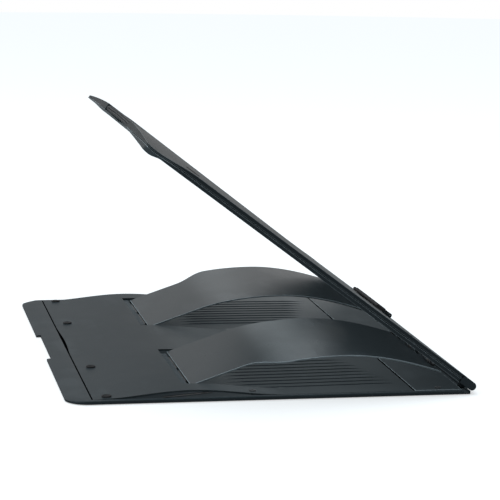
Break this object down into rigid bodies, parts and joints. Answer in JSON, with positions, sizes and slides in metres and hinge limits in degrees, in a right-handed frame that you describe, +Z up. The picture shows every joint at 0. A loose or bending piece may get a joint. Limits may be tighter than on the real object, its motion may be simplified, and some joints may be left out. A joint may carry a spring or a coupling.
{
  "type": "folding laptop riser",
  "caption": "Folding laptop riser with a flat base, a tilting platform, two curved arms with sliding toes and a flip-up stop.",
  "frame": {"origin": "on the table, under the middle of the riser's box", "axes": "+X towards the hinge end, Y along the hinge axis across the width, +Z up"},
  "size_m": [0.25, 0.33, 0.1579],
  "materials": {
    "shell_plastic": "fine spark-eroded charcoal plastic",
    "arm_plastic": "satin charcoal plastic",
    "slide_plastic": "ribbed grey acetal",
    "bracket": "black painted steel",
    "steel": "ground steel",
    "screw": "black zinc",
    "rubber": "matt rubber"
  },
  "bodies": {
    "base": {"base_tray": "shell_plastic", "base_panel": "shell_plastic", "hinge_cover": "shell_plastic", "hinge_lugs": "shell_plastic", "hinge_rods": "steel", "hinge_washers": "slide_plastic", "rubber_feet": "rubber", "bumpers": "rubber", "panel_screws": "screw", "lug_screws": "screw", "side_stays": "steel"},
    "platform": {"platform_underside": "shell_plastic", "platform_top": "shell_plastic", "grip_insert": "rubber", "platform_screws": "screw", "platform_pads": "rubber", "arm_bracket_left": "bracket", "arm_bracket_right": "bracket", "arm_pin_left": "steel", "arm_pin_right": "steel", "bracket_screws": "screw", "stop_blocks": "shell_plastic", "stop_pin": "steel"},
    "arm_left": {"arm_left": "arm_plastic"},
    "arm_right": {"arm_right": "arm_plastic"},
    "toe_left": {"toe_slide_left": "slide_plastic", "toe_pad_left": "slide_plastic", "toe_pin_left": "steel"},
    "toe_right": {"toe_slide_right": "slide_plastic", "toe_pad_right": "slide_plastic", "toe_pin_right": "steel"},
    "stop": {"laptop_stop": "shell_plastic", "stop_pad": "rubber"}
  },
  "joints": [
    {"name": "platform_hinge", "type": "hinge", "parent": "base", "child": "platform", "pos_m": [0.1224, 0, 0.0052], "axis": [0, 1, 0], "range_deg": [-22, 10]},
    {"name": "arm_left_pivot", "type": "hinge", "parent": "platform", "child": "arm_left", "pos_m": [0.1016, -0.096, 0.01746], "axis": [0, 1, 0], "range_deg": [-11.6, 25.4]},
    {"name": "arm_right_pivot", "type": "hinge", "parent": "platform", "child": "arm_right", "pos_m": [0.1016, 0.096, 0.01746], "axis": [0, 1, 0], "range_deg": [-11.6, 25.4]},
    {"name": "toe_left_pivot", "type": "hinge", "parent": "arm_left", "child": "toe_left", "pos_m": [-0.049, -0.096, 0.0034], "axis": [0, 1, 0], "range_deg": [-3.3, 1.6]},
    {"name": "toe_right_pivot", "type": "hinge", "parent": "arm_right", "child": "toe_right", "pos_m": [-0.049, 0.096, 0.0034], "axis": [0, 1, 0], "range_deg": [-3.3, 1.6]},
    {"name": "stop_flip", "type": "hinge", "parent": "platform", "child": "stop", "pos_m": [0.102, 0, 0.02552], "axis": [0, 1, 0], "range_deg": [0, 90]}
  ],
  "couplings": [
    {"joint": "arm_left_pivot", "follows": "platform_hinge", "ratio": -1.145},
    {"joint": "arm_right_pivot", "follows": "platform_hinge", "ratio": -1.145},
    {"joint": "toe_left_pivot", "follows": "platform_hinge", "ratio": 0.145},
    {"joint": "toe_right_pivot", "follows": "platform_hinge", "ratio": 0.145}
  ]
}
